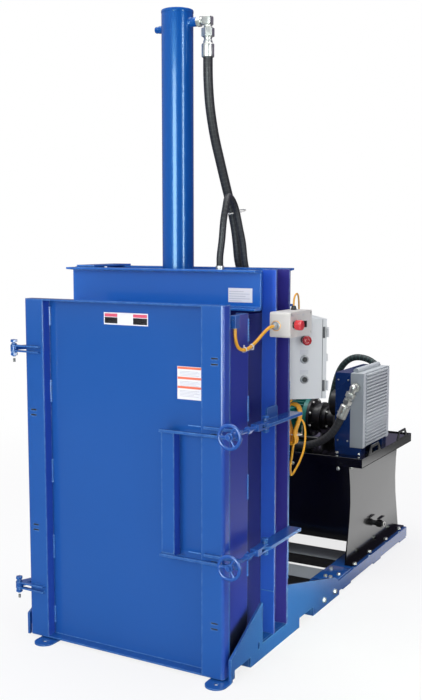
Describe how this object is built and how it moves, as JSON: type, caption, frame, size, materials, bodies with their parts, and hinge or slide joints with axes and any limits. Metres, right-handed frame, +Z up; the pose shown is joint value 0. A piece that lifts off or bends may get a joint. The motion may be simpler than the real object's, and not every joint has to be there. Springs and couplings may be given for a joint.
{
  "type": "drum crusher",
  "caption": "Upright hydraulic drum crusher with a swing door held by swing bolts, a vertical cylinder with platen, and a power unit on a rear skid.",
  "frame": {"origin": "on the ram axis at floor level, on the underside of the load beam", "axes": "+Z up along the ram axis, +X to the operator's right when facing the door, +Y towards the power unit"},
  "size_m": [1.104, 2.108, 2.502],
  "materials": {
    "blue_paint": "gloss enamel",
    "black_paint": "gloss enamel",
    "grey_enamel": "satin powder coat",
    "zinc_steel": "zinc plated",
    "hard_chrome": "polished",
    "hose_rubber": "matt",
    "yellow_jacket": "satin",
    "teal_paint": "gloss enamel",
    "bare_aluminium": "satin",
    "black_plastic": "satin",
    "red_plastic": "gloss",
    "salmon_plastic": "gloss"
  },
  "bodies": {
    "frame": {"side_plates": "blue_paint", "floor_plate": "blue_paint", "base_beams": "blue_paint", "door_posts": "blue_paint", "chamber_shell": "blue_paint", "column_right": "blue_paint", "column_left": "blue_paint", "crosshead_front": "blue_paint", "crosshead_rear": "blue_paint", "crosshead_plates": "blue_paint", "cylinder_barrel": "blue_paint", "cylinder_cap": "blue_paint", "rod_gland": "zinc_steel", "hose_fittings": "zinc_steel", "pressure_hose": "hose_rubber", "return_hose": "hose_rubber", "hinge_lugs": "blue_paint", "pivot_pins": "zinc_steel", "latch_brackets": "blue_paint", "station_box": "grey_enamel", "panel_fittings": "black_plastic", "cabinet_box": "grey_enamel", "cabinet_bracket": "blue_paint", "door_switch": "black_plastic", "switch_cable": "yellow_jacket", "station_cable": "hose_rubber", "cable_hank": "yellow_jacket", "cable_tail": "yellow_jacket", "power_skid": "blue_paint", "tank": "black_paint", "tank_cover": "black_paint", "drain_valve": "black_paint", "motor": "teal_paint", "bell_housing": "black_paint", "pump": "black_paint", "cooler_core": "bare_aluminium", "cooler_shroud": "blue_paint", "cooler_motor": "black_paint", "cooler_hose": "hose_rubber", "loop_hose": "hose_rubber"},
    "ram": {"piston_rod": "hard_chrome", "platen": "blue_paint"},
    "door": {"door_panel": "blue_paint", "door_stiles": "blue_paint", "door_brace": "blue_paint", "hinge_straps": "blue_paint"},
    "swing_bolt_upper": {"swing_bolt_upper": "blue_paint"},
    "swing_bolt_lower": {"swing_bolt_lower": "blue_paint"},
    "washer_upper": {"latch_washer_upper": "zinc_steel"},
    "washer_lower": {"latch_washer_lower": "zinc_steel"},
    "handwheel_upper": {"handwheel_upper": "blue_paint"},
    "handwheel_lower": {"handwheel_lower": "blue_paint"},
    "cabinet_door": {"cabinet_door": "grey_enamel"},
    "estop": {"estop_head": "red_plastic"},
    "start_button": {"start_button": "black_plastic"},
    "reset_button": {"reset_button": "black_plastic"},
    "station_mushroom": {"station_mushroom": "salmon_plastic"},
    "station_knob": {"station_knob": "black_plastic"},
    "cooler_fan": {"cooler_fan": "black_plastic"},
    "drain_handle": {"drain_handle": "zinc_steel"}
  },
  "joints": [
    {"name": "ram_slide", "type": "slide", "parent": "frame", "child": "ram", "axis": [0, 0, -1], "range_m": [0, 0.95]},
    {"name": "door_hinge", "type": "hinge", "parent": "frame", "child": "door", "pos_m": [-0.497, -0.436, 0.692], "axis": [0, 0, 1], "range_deg": [-115, 0]},
    {"name": "swing_bolt_upper_pivot", "type": "hinge", "parent": "frame", "child": "swing_bolt_upper", "pos_m": [0.5, -0.205, 0.925], "axis": [0, 0, 1], "range_deg": [0, 100]},
    {"name": "handwheel_upper_travel", "type": "slide", "parent": "swing_bolt_upper", "child": "washer_upper", "axis": [0, -1, 0], "range_m": [0, 0.0061]},
    {"name": "handwheel_upper_spin", "type": "hinge", "parent": "washer_upper", "child": "handwheel_upper", "pos_m": [0.5, -0.486, 0.925], "axis": [0, -1, 0], "range_deg": [0, 1080]},
    {"name": "swing_bolt_lower_pivot", "type": "hinge", "parent": "frame", "child": "swing_bolt_lower", "pos_m": [0.5, -0.205, 0.459], "axis": [0, 0, 1], "range_deg": [0, 100]},
    {"name": "handwheel_lower_travel", "type": "slide", "parent": "swing_bolt_lower", "child": "washer_lower", "axis": [0, -1, 0], "range_m": [0, 0.0061]},
    {"name": "handwheel_lower_spin", "type": "hinge", "parent": "washer_lower", "child": "handwheel_lower", "pos_m": [0.5, -0.486, 0.459], "axis": [0, -1, 0], "range_deg": [0, 1080]},
    {"name": "cabinet_door_hinge", "type": "hinge", "parent": "frame", "child": "cabinet_door", "pos_m": [0.54853, 0.26203, 1.121], "axis": [0, 0, 1], "range_deg": [-120, 0]},
    {"name": "estop_press", "type": "slide", "parent": "frame", "child": "estop", "axis": [-0.6428, 0.766, 0], "range_m": [0, 0.006]},
    {"name": "start_press", "type": "slide", "parent": "frame", "child": "start_button", "axis": [-0.6428, 0.766, 0], "range_m": [0, 0.004], "stiffness_N_per_m": 300},
    {"name": "reset_press", "type": "slide", "parent": "frame", "child": "reset_button", "axis": [-0.6428, 0.766, 0], "range_m": [0, 0.004], "stiffness_N_per_m": 300},
    {"name": "mushroom_press", "type": "slide", "parent": "frame", "child": "station_mushroom", "axis": [-1, 0, 0], "range_m": [0, 0.006], "stiffness_N_per_m": 300},
    {"name": "selector_turn", "type": "hinge", "parent": "frame", "child": "station_knob", "pos_m": [0.556, -0.025, 1.286], "axis": [1, 0, 0], "range_deg": [-45, 45]},
    {"name": "fan_spin", "type": "hinge", "parent": "frame", "child": "cooler_fan", "pos_m": [0.337, 1.127, 0.7905], "axis": [1, 0, 0], "continuous": true},
    {"name": "drain_turn", "type": "hinge", "parent": "frame", "child": "drain_handle", "pos_m": [0.439, 1.235, 0.169], "axis": [0, 0, 1], "range_deg": [-90, 0]}
  ],
  "couplings": [
    {"joint": "handwheel_upper_travel", "follows": "handwheel_upper_spin", "m_per_rad": 0.00031831},
    {"joint": "handwheel_lower_travel", "follows": "handwheel_lower_spin", "m_per_rad": 0.00031831}
  ]
}
